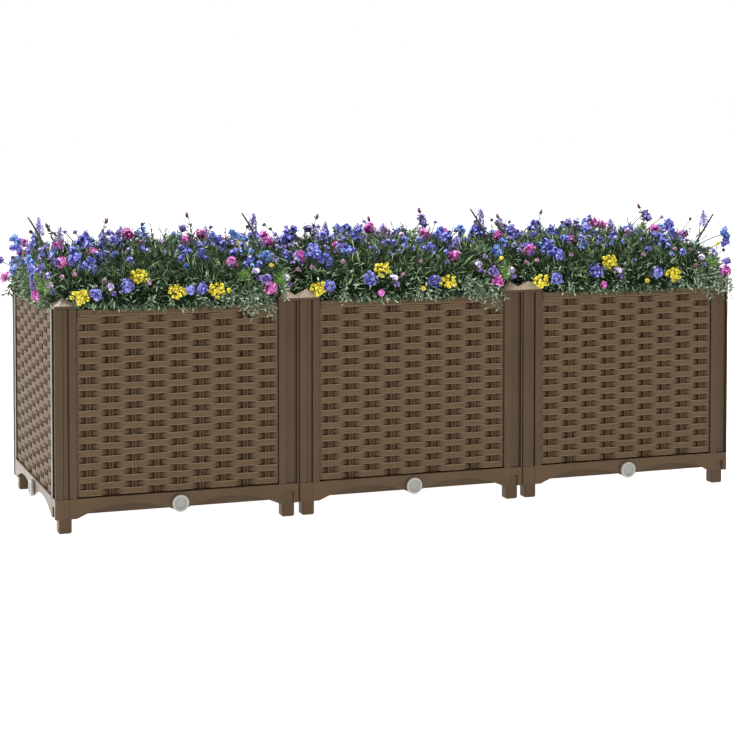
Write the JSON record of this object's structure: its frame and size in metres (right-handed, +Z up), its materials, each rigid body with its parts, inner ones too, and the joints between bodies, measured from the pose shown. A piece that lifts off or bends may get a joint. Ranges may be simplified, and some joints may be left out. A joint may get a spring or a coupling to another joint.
{
  "type": "planted raised bed",
  "caption": "Row of square wicker-look planter modules on footed bases, filled with soil and mixed blue, violet, magenta and yellow flowers over fine grey-green foliage.",
  "frame": {"origin": "on the ground, at the middle of the row of planters", "axes": "+X along the row, -Y towards the front, +Z up"},
  "size_m": [1.24, 0.428, 0.4916],
  "materials": {
    "brown_plastic": "moulded satin brown",
    "woven_plastic": "moulded wicker-look weave",
    "plug_plastic": "pale grey satin",
    "grid_plastic": "dark matt",
    "soil": "crumbly potting soil",
    "foliage": "fine grey-green leaves and mixed flowers"
  },
  "bodies": {
    "root": {"left_back_left_cap": "brown_plastic", "left_back_left_post": "brown_plastic", "left_back_panel": "woven_plastic", "left_back_plug": "plug_plastic", "left_back_right_cap": "brown_plastic", "left_back_right_post": "brown_plastic", "left_base": "brown_plastic", "left_front_left_cap": "brown_plastic", "left_front_left_post": "brown_plastic", "left_front_panel": "woven_plastic", "left_front_plug": "plug_plastic", "left_front_right_cap": "brown_plastic", "left_front_right_post": "brown_plastic", "left_grid": "grid_plastic", "left_left_panel": "woven_plastic", "left_left_plug": "plug_plastic", "left_plants": "foliage", "left_right_panel": "woven_plastic", "left_soil": "soil", "left_water_tray": "brown_plastic", "middle_back_left_cap": "brown_plastic", "middle_back_left_post": "brown_plastic", "middle_back_panel": "woven_plastic", "middle_back_plug": "plug_plastic", "middle_back_right_cap": "brown_plastic", "middle_back_right_post": "brown_plastic", "middle_base": "brown_plastic", "middle_front_left_cap": "brown_plastic", "middle_front_left_post": "brown_plastic", "middle_front_panel": "woven_plastic", "middle_front_plug": "plug_plastic", "middle_front_right_cap": "brown_plastic", "middle_front_right_post": "brown_plastic", "middle_grid": "grid_plastic", "middle_left_panel": "woven_plastic", "middle_plants": "foliage", "middle_right_panel": "woven_plastic", "middle_soil": "soil", "middle_water_tray": "brown_plastic", "right_back_left_cap": "brown_plastic", "right_back_left_post": "brown_plastic", "right_back_panel": "woven_plastic", "right_back_plug": "plug_plastic", "right_back_right_cap": "brown_plastic", "right_back_right_post": "brown_plastic", "right_base": "brown_plastic", "right_front_left_cap": "brown_plastic", "right_front_left_post": "brown_plastic", "right_front_panel": "woven_plastic", "right_front_plug": "plug_plastic", "right_front_right_cap": "brown_plastic", "right_front_right_post": "brown_plastic", "right_grid": "grid_plastic", "right_left_panel": "woven_plastic", "right_plants": "foliage", "right_right_panel": "woven_plastic", "right_right_plug": "plug_plastic", "right_soil": "soil", "right_water_tray": "brown_plastic"}
  },
  "joints": []
}
